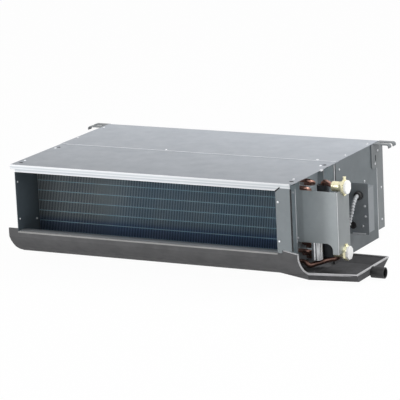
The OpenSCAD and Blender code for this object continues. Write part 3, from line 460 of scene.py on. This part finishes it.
def lip_sheet(name):
    """Front lip in painted light: its rolled edges pale as painted highlights, painted shade in the duller
    bands between them, fine drawn streaks, and darker towards its right end.
    """
    s = Shader(name, (0.7, 0.72, 0.74), roughness=0.35, metallic=0.15)
    ridge_light_bands = s.ramp(s.fade(s.axis("Z"), 0.0, -LIP_H), [
        (0.10, (0.82, 0.84, 0.86)), (0.34, (0.54, 0.58, 0.61)), (0.50, (0.80, 0.82, 0.84)),
        (0.66, (0.56, 0.60, 0.63)), (0.90, (0.84, 0.86, 0.88)),
    ])
    drawn = s.noise(60.0, 3.0, stretch=(0.05, 1.0, 1.0))
    streak = s.ramp(drawn, [(0.3, (0.88, 0.88, 0.89)), (0.7, WHITE)])
    s.colour(tinted(s, s.times(ridge_light_bands, streak), LIP_SHADE_TINT))
    s.roughness(s.spread(s.noise(80.0, 3.0), 0.3, 0.45))
    return s.material


# Fin pack at its real, fine pitch
ROW_PITCH = 0.0254
FIN_PITCH = 0.0022
FIN_THICKNESS = 0.00025
FIRST_ROW = 0.75
CREASE_H = 0.0011
CREASE_D = 0.0005
FOOT_SHADE_ROWS = 4.9
FOOT_SHADE_FADE = 0.013
GREY_LEFT_TO = 0.10
GREY_LEFT_FADE = 0.22
fin_low, fin_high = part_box("coil_fins")
CREASE_Z = fin_high[2] - ROW_PITCH * FIRST_ROW


def fin_foil(name):
    """Blue-coated fin foil: a painted highlight on the crease in every row, every other fin painted lighter,
    painted shade at the foot under the sill, and the lighter fins greyer towards the left.
    """
    s = Shader(name, (0.16, 0.21, 0.25), roughness=0.45, metallic=0.1)
    crease = s.band("Z", ROW_PITCH, CREASE_Z, inner=0.016, outer=0.045)
    # Painted light and shade: every other fin lighter, as light on the fin edges and shade between the fins
    pair = s.band("X", 2.0 * FIN_PITCH, fin_low[0], inner=0.20, outer=0.30)
    patch = s.noise(4.0, 3.0)
    # The lighter fins greyer towards the left end of the pack
    greyer_left = s.below("X", fin_low[0] + GREY_LEFT_TO, GREY_LEFT_FADE)
    blue = s.ramp(patch, [(0.35, (0.045, 0.08, 0.115)), (0.6, (0.07, 0.10, 0.125))])
    pale = s.ramp(patch, [(0.35, (0.47, 0.63, 0.76)), (0.6, (0.62, 0.71, 0.76))])
    grey = s.ramp(patch, [(0.35, (0.50, 0.56, 0.59)), (0.6, (0.62, 0.66, 0.67))])
    body = s.mix(pair, blue, s.mix(greyer_left, pale, grey))
    # Painted shade: the fins darker and bluer at the foot, under the sill
    low = s.below("Z", CREASE_Z - FOOT_SHADE_ROWS * ROW_PITCH, FOOT_SHADE_FADE)
    foot = s.ramp(low, [(0.0, WHITE), (1.0, (0.50, 0.58, 0.78))])
    # Painted highlight: pale teal on the creases, as light on their front edges
    line = s.ramp(s.noise(30.0, 2.0), [(0.3, (0.46, 0.74, 0.86)), (0.7, (0.70, 0.92, 0.97))])
    s.colour(s.mix(crease, s.times(body, foot), line))
    s.roughness(s.spread(s.noise(40.0, 3.0), 0.38, 0.55))
    return s.material


def fin_profile():
    """Outline of one fin in Y and Z, with a small crease once per row on its front edge."""
    front, back = fin_low[1], fin_high[1]
    points = [(back, fin_low[2]), (back, fin_high[2]), (front + CREASE_D, fin_high[2])]
    z = CREASE_Z
    while z > fin_low[2] + 2.0 * CREASE_H:
        points += [
            (front + CREASE_D, z + CREASE_H),
            (front, z),
            (front + CREASE_D, z - CREASE_H),
        ]
        z -= ROW_PITCH
    points.append((front + CREASE_D, fin_low[2]))
    return points


def make_fin_pack(material):
    bm = bmesh.new()
    outline = fin_profile()
    count = int((fin_high[0] - fin_low[0]) / FIN_PITCH)
    pitch = (fin_high[0] - fin_low[0] - FIN_THICKNESS) / (count - 1)
    for i in range(count):
        x = fin_low[0] + i * pitch
        near = [bm.verts.new((x, y, z)) for y, z in outline]
        far = [bm.verts.new((x + FIN_THICKNESS, y, z)) for y, z in outline]
        add_capped(bm, [near, far])
    piece = add_mesh_object("coil_fin_pack", bm, material)
    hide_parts("coil_fins")


# Screw heads with a rounded rim and a cross recess
HEAD_SHARE = 0.82
HEAD_PROFILE = [(1.0, 0.0), (1.0, 0.35), (0.93, 0.68), (0.72, 0.92)]
RECESS_ARM = 0.5
RECESS_HALF_W = 0.13
RECESS_FLOOR_H = 0.3
RECESS_TAPER = 0.8
RECESS_POINTS = 12


def screw_direction(low, high):
    size = high - low
    middle = (low + high) / 2
    thin = min(range(3), key=lambda k: size[k])
    if thin == 2:
        return UPWARD
    if thin == 1:
        return FORWARD
    return -ALONG_X if middle.x < CORNER.x else ALONG_X


def cross_outline(arm, half):
    """The corners of a cross, three in each quarter."""
    points = []
    for quarter in range(4):
        for x, y in ((arm, half), (half, half), (half, arm)):
            for _ in range(quarter):
                x, y = -y, x
            points.append((x, y))
    return points


def add_screw_head(bm, low, high):
    direction = screw_direction(low, high)
    radius = max(high - low) / 2 * HEAD_SHARE
    height = min(high - low)
    foot = (low + high) / 2 - direction * height / 2
    profile = [(radius * across, height * up) for across, up in HEAD_PROFILE]
    rings = add_rings(bm, foot, direction, profile, 2 * RECESS_POINTS)
    add_bands(bm, rings)
    bm.faces.new(list(reversed(rings[0])))
    side, up = axes_round(direction)
    cross = cross_outline(radius * RECESS_ARM, radius * RECESS_HALF_W)
    offsets = [side * x + up * y for x, y in cross]
    top = [bm.verts.new(foot + direction * height + offset) for offset in offsets]
    sunk = foot + direction * height * RECESS_FLOOR_H
    floor = [bm.verts.new(sunk + offset * RECESS_TAPER) for offset in offsets]
    rim = rings[-1]
    for k in range(RECESS_POINTS):
        n = (k + 1) % RECESS_POINTS
        a, b, c = [rim[(2 * k + step) % len(rim)] for step in (1, 2, 3)]
        bm.faces.new((a, b, top[k]))
        bm.faces.new((b, c, top[n], top[k]))
        bm.faces.new((top[k], top[n], floor[n], floor[k]))
    bm.faces.new(floor)


def make_screws(node, material):
    bm = bmesh.new()
    for low, high in islands(node):
        add_screw_head(bm, low, high)
    piece = add_mesh_object(node + "_heads", bm, material)
    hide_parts(node)


# Ribbed conduit along the route of its CAD solid, given in millimetres from the middle of its gland
GLAND = at(792.7, 300.0, -92.0)
CONDUIT_BEND = [
    (0, -0.5, 0), (0, -14, 0), (0, -20, -3), (0, -27, -9), (-1, -32, -17), (-2, -35.5, -27), (-4, -37, -38),
    (-7, -38, -49), (-11, -38, -63), (-17, -38, -74), (-22.7, -38, -79), (-33.7, -38, -79),
]
CONDUIT_R = 0.0052
CONDUIT_CORE = 0.55
CONDUIT_SIDES = 20
RIB_PITCH = 0.0060
RIB_SHAPE = [0.0, 0.65, 1.0, 0.65]


def make_conduit(material):
    path = smooth_route([GLAND + Vector(p) / 1000.0 for p in CONDUIT_BEND], RIB_PITCH / len(RIB_SHAPE))
    radii = []
    for i in range(len(path)):
        rib = RIB_SHAPE[i % len(RIB_SHAPE)]
        radii.append(CONDUIT_R * (CONDUIT_CORE + (1.0 - CONDUIT_CORE) * rib))
    bm = bmesh.new()
    add_sweep(bm, path, radii, CONDUIT_SIDES)
    piece = add_mesh_object("ribbed_conduit", bm, material, smooth=True)
    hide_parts("wiring_conduit")


# Bent water pipes: the supply pipe runs under the sleeve to the lower connection and keeps its hidden riser
SUPPLY_BEND = [
    (723.0, 111.0, -212.4), (731.0, 111.0, -212.8), (737.5, 111.3, -216.0), (742.5, 112.3, -220.6),
    (750.0, 115.2, -221.4), (765.3, 123.0, -216.7), (789.9, 135.0, -209.2), (799.7, 139.6, -208.2),
    (806.5, 141.2, -204.6), (811.5, 140.0, -198.4), (814.0, 138.0, -194.0),
]
SUPPLY_RISER = [(789.9, 135.0, -203.2), (789.9, 135.0, -182.4)]
SUPPLY_INLET = [(789.9, 135.0, -190.0), (810.0, 135.0, -190.0)]
RETURN_BEND = [
    (768.0, 155.0, -54.0), (768.0, 155.0, -44.0), (768.3, 154.8, -36.0), (770.5, 153.7, -29.5),
    (775.5, 151.1, -27.0), (783.0, 147.3, -27.6), (795.0, 141.0, -29.8), (803.0, 136.6, -31.2),
    (810.0, 135.0, -31.5),
]
PIPE_R = 0.00635
RISER_R = 0.00762
LOW_TUBE_R = 0.00476
PIPE_SIDES = 24
BEND_STEP = 0.0015


def make_supply_pipe(material):
    """The pipe widens from the lowest tube's radius to its own over the first bend."""
    path = smooth_route(points_at(SUPPLY_BEND), BEND_STEP)
    start, full = at(*SUPPLY_BEND[1]).x, at(*SUPPLY_BEND[3]).x
    radii = []
    for point in path:
        share = min(1.0, max(0.0, (point.x - start) / (full - start)))
        radii.append(LOW_TUBE_R + (PIPE_R - LOW_TUBE_R) * share)
    bm = bmesh.new()
    add_sweep(bm, path, radii, PIPE_SIDES)
    for hidden, radius in ((SUPPLY_RISER, RISER_R), (SUPPLY_INLET, PIPE_R)):
        add_sweep(bm, points_at(hidden), [radius, radius], PIPE_SIDES)
    piece = add_mesh_object("bent_supply_pipe", bm, material, smooth=True)
    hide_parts("supply_pipe")


def make_return_pipe(material):
    path = smooth_route(points_at(RETURN_BEND), BEND_STEP)
    bm = bmesh.new()
    add_sweep(bm, path, [PIPE_R] * len(path), PIPE_SIDES)
    piece = add_mesh_object("bent_return_pipe", bm, material, smooth=True)
    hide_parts("return_pipe")


# Domed cable gland round the conduit, and a rounded bush with a thin membrane below it, as (radius, height)
GLAND_PROFILE = [
    (0.0062, 0.0), (0.0110, 0.0), (0.0112, 0.004), (0.0108, 0.008), (0.0096, 0.0108), (0.0078, 0.0120),
    (0.0062, 0.0116),
]
BUSH_PROFILE = [
    (0.0089, 0.0), (0.0089, 0.0010), (0.0086, 0.0018), (0.0078, 0.0026), (0.0068, 0.0029), (0.0057, 0.0026),
    (0.0047, 0.0019), (0.0020, 0.0017),
]
GLAND_SIDES = 32


def make_gland(material):
    bm = bmesh.new()
    add_looped(bm, add_rings(bm, GLAND, FORWARD, GLAND_PROFILE, GLAND_SIDES))
    piece = add_mesh_object("gland_nut", bm, material)
    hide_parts("cable_gland")


def make_cable_bush(material):
    low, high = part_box("cable_bush")
    centre = Vector(((low[0] + high[0]) / 2, high[1], (low[2] + high[2]) / 2))
    bm = bmesh.new()
    add_capped(bm, add_rings(bm, centre, FORWARD, BUSH_PROFILE, GLAND_SIDES))
    piece = add_mesh_object("bush_membrane", bm, material)
    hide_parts("cable_bush")


# Rolled rim on the pan's right front ear, down its right end and round its tray, pale grey as a painted
# highlight on the rim
PAN_EAR = [(733.5, 1.6, -160.0), (750.0, 1.6, -163.5), (770.0, 1.6, -167.0)]
PAN_END_X = 771.0
PAN_END = [(1.6, -181.0), (8.4, -192.2), (17.2, -202.2), (28.0, -212.4), (44.0, -221.6)]
TRAY_RIM_Z = -224.5
TRAY_RIM = [(773.0, 48.0), (888.0, 67.0), (888.0, 245.0), (773.0, 245.0)]
EAR_RIM_R = 0.0018
END_RIM_R = 0.0021
TRAY_RIM_R = 0.0029
RIM_SIDES = 12


def make_pan_rim(material):
    path = points_at(PAN_EAR)
    path += [at(PAN_END_X, y, z) for y, z in PAN_END]
    path += [at(x, y, TRAY_RIM_Z) for x, y in TRAY_RIM]
    radii = [EAR_RIM_R] * len(PAN_EAR) + [END_RIM_R] * len(PAN_END) + [TRAY_RIM_R] * len(TRAY_RIM)
    bm = bmesh.new()
    add_sweep(bm, path, radii, RIM_SIDES)
    piece = add_mesh_object("pan_rim", bm, material, smooth=True)


# Pleated foil wrap on the supply header
PLEATS = 10
PLEAT_SIDES = 6
WRAP_R = 0.0126
PLEAT_D = 0.0010
WRAP_LIFT = 0.001
WRAP_SHORT = 0.03
HEADER_R = 0.011


def make_header_wrap(material):
    low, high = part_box("supply_header")
    foot = Vector((high[0] - HEADER_R, (low[1] + high[1]) / 2, low[2] + WRAP_LIFT))
    count = PLEATS * PLEAT_SIDES
    bm = bmesh.new()
    rings = []
    for z in (0.0, high[2] - low[2] - WRAP_SHORT):
        ring = []
        for k in range(count):
            angle = 2.0 * math.pi * k / count
            radius = WRAP_R + PLEAT_D * math.cos(angle * PLEATS)
            ring.append(bm.verts.new(foot + Vector((radius * math.cos(angle), radius * math.sin(angle), z))))
        rings.append(ring)
    add_capped(bm, rings)
    piece = add_mesh_object("header_wrap", bm, material)


# Dark rings under the four round holes of the front top panel, painted shade that keeps the holes dark
HOLE_SHADE_PLACES = [(15.0, 28.0, -7.0), (748.0, 28.0, -7.0), (15.0, 208.0, -7.0), (748.0, 208.0, -7.0)]
HOLE_SHADE_PROFILE = [(0.0055, 0.0), (0.0074, 0.0), (0.0074, 0.006), (0.0055, 0.006)]
HOLE_SHADE_SIDES = 24


def make_hole_shades(material):
    bm = bmesh.new()
    for place in HOLE_SHADE_PLACES:
        add_looped(bm, add_rings(bm, at(*place), UPWARD, HOLE_SHADE_PROFILE, HOLE_SHADE_SIDES))
    piece = add_mesh_object("hole_shade_rings", bm, material)


# Hems along the sheets' edges (start, end, radius), their pale zinc a painted highlight on the folded edges,
# and a clip on the top panel and a lip on the control box in the same pale zinc
HIGHLIGHT_HEMS = [
    ((1.0, 243.2, 0.6), (762.0, 243.2, 0.6), 0.0008),
    ((762.2, 229.6, -3.0), (762.2, 229.6, -238.0), 0.0014),
    ((736.0, 226.4, -4.0), (736.0, 226.4, -198.0), 0.0008),
    ((763.0, 472.4, -64.0), (763.0, 472.4, -241.0), 0.0008),
    ((829.6, 97.2, -37.5), (829.6, 97.2, -186.5), 0.0008),
    ((732.6, 76.4, -30.0), (732.6, 76.4, -160.0), 0.0008),
]
TRIM_BOXES = [
    ((762.0, 148.0, -1.5), (767.5, 159.0, 1.2)),
    ((774.0, 298.2, -187.6), (808.0, 300.0, -185.2)),
]
# A dark line along the mitre of the top flange, a dark strip behind the right strip as painted shadow in the
# gap there, and a dark strip in the seam beside the side panel's hem, painted shadow in that joint
DARK_JOINT_BEADS = [
    ((719.0, -0.6, -18.4), (730.6, -0.6, -9.0), 0.0014),
]
SHADOW_GAP_BOXES = [
    ((755.4, 1.0, -160.0), (759.2, 2.6, -12.0)),
    ((762.8, 231.2, -239.0), (763.4, 235.6, -2.0)),
]
BEAD_SIDES = 10


def make_edging(name, beads, boxes, material):
    """Straight round beads and flat boxes as one piece."""
    bm = bmesh.new()
    for start, end, radius in beads:
        add_sweep(bm, points_at((start, end)), [radius, radius], BEAD_SIDES)
    for low, high in boxes:
        add_box(bm, at(*low), at(*high))
    piece = add_mesh_object(name, bm, material)


# Floor, backdrop and light
WORLD_STRENGTH = 0.42
FLOOR_WHITE = 0.97
FLOOR_HALF = 14.0
FLOOR_DROP = 0.002
LAMP_TARGET = (0.0, -0.25, -0.1)


def seen_white(tree):
    """One where the camera, a reflection or a see-through surface looks on, and zero elsewhere."""
    path = tree.nodes.new("ShaderNodeLightPath")
    either = add_math(tree, "MAXIMUM", path.outputs["Is Camera Ray"], path.outputs["Is Glossy Ray"])
    return add_math(tree, "MAXIMUM", either, path.outputs["Is Transmission Ray"])


def mix_into(tree, share, lit, white, output):
    """Shows the white shader by a share and the lit one for the rest."""
    mix = tree.nodes.new("ShaderNodeMixShader")
    tree.links.new(share, mix.inputs["Fac"])
    tree.links.new(lit, mix.inputs[1])
    tree.links.new(white, mix.inputs[2])
    tree.links.new(mix.outputs["Shader"], tree.nodes[output].inputs["Surface"])


def make_world():
    world = bpy.data.worlds.new("studio")
    bpy.context.scene.world = world
    world.use_nodes = True
    tree = world.node_tree
    lit = tree.nodes["Background"]
    white = tree.nodes.new("ShaderNodeBackground")
    for background, strength in ((lit, WORLD_STRENGTH), (white, 1.0)):
        background.inputs["Color"].default_value = (*WHITE, 1.0)
        background.inputs["Strength"].default_value = strength
    mix_into(tree, seen_white(tree), lit.outputs["Background"], white.outputs["Background"], "World Output")


def floor_material():
    material = bpy.data.materials.new("pale_floor")
    material.use_nodes = True
    tree = material.node_tree
    shader = tree.nodes["Principled BSDF"]
    shader.inputs["Base Color"].default_value = (0.9, 0.9, 0.9, 1.0)
    shader.inputs["Roughness"].default_value = 0.9
    white = tree.nodes.new("ShaderNodeEmission")
    white.inputs["Strength"].default_value = 1.0
    share = add_math(tree, "MULTIPLY", seen_white(tree), FLOOR_WHITE)
    mix_into(tree, share, shader.outputs["BSDF"], white.outputs["Emission"], "Material Output")
    return material


def make_floor():
    z = cad_box[0][2] - FLOOR_DROP
    bm = bmesh.new()
    corners = [(FLOOR_HALF * x, FLOOR_HALF * y, z) for x, y in ((-1, -1), (1, -1), (1, 1), (-1, 1))]
    bm.faces.new([bm.verts.new(corner) for corner in corners])
    mesh = bpy.data.meshes.new("floor")
    bm.to_mesh(mesh)
    bm.free()
    floor = bpy.data.objects.new("floor", mesh)
    floor.data.materials.append(floor_material())
    bpy.context.collection.objects.link(floor)


def add_softbox(name, place, target, size, power):
    data = bpy.data.lights.new(name, "AREA")
    data.shape = "RECTANGLE"
    data.size, data.size_y = size
    data.energy = power
    lamp = bpy.data.objects.new(name, data)
    lamp.location = place
    lamp.rotation_euler = (Vector(target) - Vector(place)).to_track_quat("-Z", "Y").to_euler()
    bpy.context.collection.objects.link(lamp)


def make_lights():
    add_softbox("overhead", (1.5, 0.7, 2.0), (0.2, -0.1, 0.0), (1.6, 1.6), 43.0)
    add_softbox("front_left", (-1.6, -3.4, 0.6), LAMP_TARGET, (2.0, 1.6), 60.0)
    add_softbox("right_fill", (3.2, -0.8, 0.9), LAMP_TARGET, (1.6, 1.6), 20.0)


# Zinc-coated CAD nodes: material, colour, tint and nodes. The groups are one zinc sheet in lit and shaded
# copies: each colour is painted lighter or darker for the light its sheets get, the shaded fan deck near
# white and the inner sheets and sides darkest.
# Painted light: the top panels lighter towards the rear and darker at the front
PANEL_LIGHT_TINT = ("Y", CORNER.y, CORNER.y + 0.475, [(0.0, 1.24), (1.0, 0.84)])
# Painted light and shade: the right strip darker in its front few millimetres, its flange and the tube sheet
# behind it lighter
STRIP_LIGHT_TINT = ("Y", CORNER.y + 0.002, CORNER.y + 0.080, [(0.0, 1.02), (0.9, 1.02), (0.95, 0.44)])
# Painted light and shade across the bracket: a shadow band beside the flange at its left, darker towards the
# right and darkest at its right edge
BRACKET_LIGHT_TINT = ("X", CORNER.x + 0.733, CORNER.x + 0.830, [
    (0.02, 0.42), (0.025, 0.73), (0.5, 0.88), (0.90, 0.96), (0.93, 0.84), (1.0, 0.84),
])
SIDE_TINT = ("Z", -0.17, -0.215, [(0.0, 0.68), (1.0, 1.0)])
# Painted shade: the copper darker towards the bottom, where the bracket shades it
COPPER_SHADE_TINT = ("Z", -0.06, -0.16, [(0.0, 0.52), (1.0, 1.0)])
BRIGHT_METALLIC = 0.15
ZINC_NODES = [
    ("zinc_panel", (0.34, 0.365, 0.40), PANEL_LIGHT_TINT, ("front_top_panel", "rear_top_panel", "bottom_panel")),
    ("zinc_strip", (0.40, 0.45, 0.475), STRIP_LIGHT_TINT, ("right_discharge_side", "right_tube_sheet")),
    ("zinc_bracket", (0.54, 0.585, 0.60), BRACKET_LIGHT_TINT, ("pipe_bracket",)),
    ("zinc_cover", (0.215, 0.233, 0.247), None, ("control_box_cover",)),
    ("zinc_side", (0.122, 0.142, 0.153), SIDE_TINT, ("left_side_panel", "right_side_panel")),
    ("zinc_collar", (0.167, 0.181, 0.188), None, (
        "inlet_collar", "rear_panel", "left_hanger", "right_hanger",
    )),
    # Painted light: the fan deck, in shade, near white
    ("zinc_deck", (0.80, 0.92, 0.97), None, ("fan_deck",)),
    ("zinc_inner", (0.125, 0.155, 0.175), None, ("left_discharge_side", "left_tube_sheet")),
    ("zinc_box", (0.27, 0.295, 0.315), None, ("control_box",)),
    ("zinc_housing", (0.52, 0.54, 0.56), None, (
        "left_blower_housing", "right_blower_housing", "motor_cradle",
    )),
]


def paint(material, *names):
    for name in names:
        slots = nodes[name].data.materials
        slots.clear()
        slots.append(material)


def dress_casing(steel, rubber):
    for name, colour, tint, wanted in ZINC_NODES:
        paint(zinc_sheet(name, colour, tint=tint), *wanted)
    paint(lip_sheet("zinc_lip"), "discharge_top_flange")
    paint(sill_sheet("zinc_sill"), "discharge_sill")
    # Pale zinc that paints the highlight on the hems
    bright = zinc_sheet("zinc_bright", (0.70, 0.72, 0.74), BRIGHT_METALLIC)
    make_edging("bright_edges", HIGHLIGHT_HEMS, TRIM_BOXES, bright)
    # Dark mitre line and painted shadow strips
    make_edging("joint_and_shadow_lines", DARK_JOINT_BEADS, SHADOW_GAP_BOXES, rubber)
    make_hole_shades(rubber)
    make_screws("casing_screws", steel)
    make_screws("coil_screws", steel)


def dress_water_side(steel, black):
    copper = turned_metal("drawn_copper", (0.44, 0.255, 0.205), 0.3, 0.9, COPPER_SHADE_TINT)
    brass = turned_metal("turned_brass", (0.95, 0.89, 0.61), 0.25, 0.6)
    paint(copper, "coil_tubes", "left_return_bends", "right_return_bends", "return_header")
    paint(brass, "supply_fitting", "return_fitting", "vent_screw")
    paint(steel, "supply_header")
    paint(plastic("white_cap", (0.95, 0.95, 0.94), 0.35), "supply_cap", "return_cap")
    paint(foam("sleeve_foam", (0.046, 0.051, 0.058)), "header_sleeve")
    paint(foam("pan_foam", (0.088, 0.088, 0.091)), "drain_pan")
    # Painted shade: the valve tray, part of the same pan, in a darker copy of its foam
    paint(foam("tray_foam", (0.050, 0.050, 0.053)), "valve_tray")
    paint(black, "drain_stub")
    make_fin_pack(fin_foil("fin_foil"))
    make_supply_pipe(copper)
    make_return_pipe(copper)
    make_header_wrap(steel)
    # Pale grey on the pan's rim: painted highlight
    make_pan_rim(plastic("pan_rim_highlight", (0.42, 0.42, 0.43), 0.6))


def dress_blowers_and_controls(steel, black, rubber):
    paint(steel, "motor_shaft")
    paint(black, "left_impeller", "right_impeller")
    paint(rubber, "motor_rings", "conduit_bush")
    paint(turned_metal("motor_paint", (0.09, 0.10, 0.11), 0.5, 0.2), "motor_body")
    paint(plastic("ivory_plastic", (0.74, 0.70, 0.58), 0.4), "terminal_block", "run_capacitor")
    make_gland(black)
    make_cable_bush(rubber)
    make_conduit(plastic("grey_conduit", (0.50, 0.52, 0.54), 0.45))


def dress_part():
    steel = turned_metal("plated_steel", (0.72, 0.73, 0.75))
    black = plastic("black_plastic", (0.013, 0.013, 0.014), 0.55)
    rubber = plastic("black_rubber", (0.012, 0.012, 0.013), 0.75)
    dress_casing(steel, rubber)
    dress_water_side(steel, black)
    dress_blowers_and_controls(steel, black, rubber)


bpy.context.scene.view_settings.view_transform = "Standard"
make_camera()
make_world()
make_floor()
make_lights()
dress_part()
